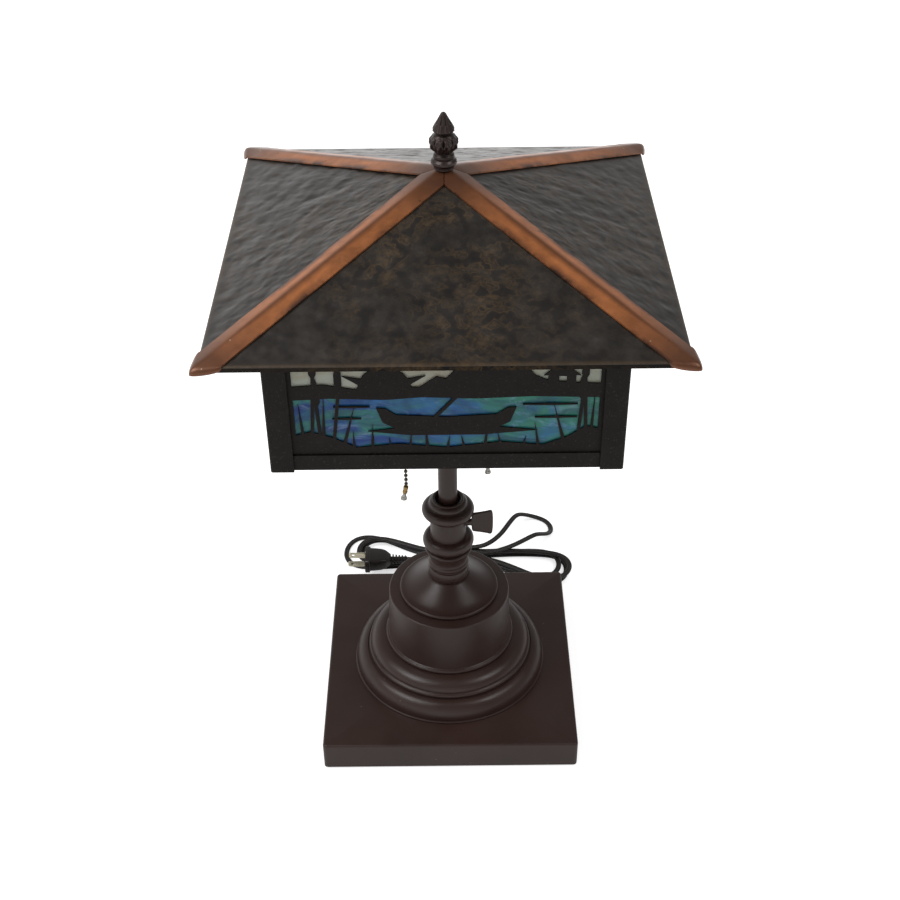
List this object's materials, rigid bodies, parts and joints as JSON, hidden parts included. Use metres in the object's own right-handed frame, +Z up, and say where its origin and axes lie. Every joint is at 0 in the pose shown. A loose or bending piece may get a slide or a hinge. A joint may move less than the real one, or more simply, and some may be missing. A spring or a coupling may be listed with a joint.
{
  "type": "slag glass table lamp",
  "caption": "Table lamp with a square hip-roofed shade of coloured glass behind pierced metal, pull-chain sockets and a turned column whose mast slides under a thumb screw.",
  "frame": {"origin": "middle of the foot's felt underside, on the table", "axes": "+Z up along the column, -Y towards the front wall of the shade, +X towards the thumb screw, the cord lying behind at +Y"},
  "size_m": [0.3318, 0.3911, 0.558],
  "materials": {
    "satin_brown": "satin dark brown paint",
    "cast_iron": "rough casting",
    "zinc_steel": "zinc plated",
    "dark_felt": "short-pile felt",
    "black_plastic": "moulded, semi-gloss",
    "cord_vinyl": "soft vinyl",
    "aged_brass": "aged, dulled",
    "pale_brass": "bright",
    "frosted_glass": "frosted white",
    "dark_bronze": "dark bronze patina",
    "hammered_bronze": "hammered dark bronze, semi-gloss",
    "worn_copper": "worn copper patina",
    "etched_bronze": "near-black etched bronze",
    "sky_glass": "creamy opalescent slag glass",
    "water_glass": "swirled blue slag glass"
  },
  "bodies": {
    "base": {"foot_plate": "satin_brown", "foot_weight": "cast_iron", "felt_pad": "dark_felt", "cord_bushing": "black_plastic", "lower_plinth": "satin_brown", "upper_plinth": "satin_brown", "drum": "satin_brown", "bell_cap": "satin_brown", "neck_lower": "satin_brown", "neck_collar": "satin_brown", "guide_tube": "zinc_steel", "guide_nut": "zinc_steel", "guide_washer": "zinc_steel", "cord_lead": "cord_vinyl", "cord_hank": "cord_vinyl", "cord_tail": "cord_vinyl", "plug_body": "black_plastic", "plug_blade_front": "pale_brass", "plug_blade_back": "pale_brass"},
    "clamp": {"clamp_screw": "satin_brown"},
    "mast": {"pole": "satin_brown", "cluster": "satin_brown", "riser_rod": "zinc_steel", "rest_nut": "zinc_steel", "rest_washer": "zinc_steel", "socket_left": "aged_brass", "socket_right": "aged_brass", "bulb_cap_left": "pale_brass", "bulb_cap_right": "pale_brass", "bulb_glass_left": "frosted_glass", "bulb_glass_right": "frosted_glass"},
    "finial": {"finial": "dark_bronze"},
    "pull_left": {"pull_chain_left": "aged_brass"},
    "pull_right": {"pull_chain_right": "aged_brass"},
    "shade": {"apex_plate": "zinc_steel", "bottom_frame": "etched_bronze", "roof_panel_front": "hammered_bronze", "roof_panel_right": "hammered_bronze", "roof_panel_back": "hammered_bronze", "roof_panel_left": "hammered_bronze", "filigree_front": "etched_bronze", "filigree_right": "etched_bronze", "filigree_back": "etched_bronze", "filigree_left": "etched_bronze", "glass_water_front": "water_glass", "glass_water_right": "water_glass", "glass_water_back": "water_glass", "glass_water_left": "water_glass", "glass_sky_front": "sky_glass", "glass_sky_right": "sky_glass", "glass_sky_back": "sky_glass", "glass_sky_left": "sky_glass", "ridge_strip_front_right": "worn_copper", "ridge_strip_back_right": "worn_copper", "ridge_strip_back_left": "worn_copper", "ridge_strip_front_left": "worn_copper", "corner_post_front_right": "etched_bronze", "corner_post_back_right": "etched_bronze", "corner_post_back_left": "etched_bronze", "corner_post_front_left": "etched_bronze"}
  },
  "joints": [
    {"name": "height_slide", "type": "slide", "parent": "base", "child": "mast", "axis": [0, 0, 1], "range_m": [-0.07, 0.06]},
    {"name": "clamp_turn", "type": "hinge", "parent": "base", "child": "clamp", "pos_m": [0, 0, 0.186], "axis": [1, 0, 0], "range_deg": [0, 360]},
    {"name": "shade_turn", "type": "hinge", "parent": "mast", "child": "shade", "pos_m": [0, 0, 0.5], "axis": [0, 0, 1], "continuous": true},
    {"name": "finial_turn", "type": "hinge", "parent": "mast", "child": "finial", "pos_m": [0, 0, 0.53], "axis": [0, 0, 1], "continuous": true},
    {"name": "pull_left", "type": "slide", "parent": "mast", "child": "pull_left", "axis": [0, 0, -1], "range_m": [0, 0.008], "stiffness_N_per_m": 600},
    {"name": "pull_right", "type": "slide", "parent": "mast", "child": "pull_right", "axis": [0, 0, -1], "range_m": [0, 0.008], "stiffness_N_per_m": 600}
  ]
}
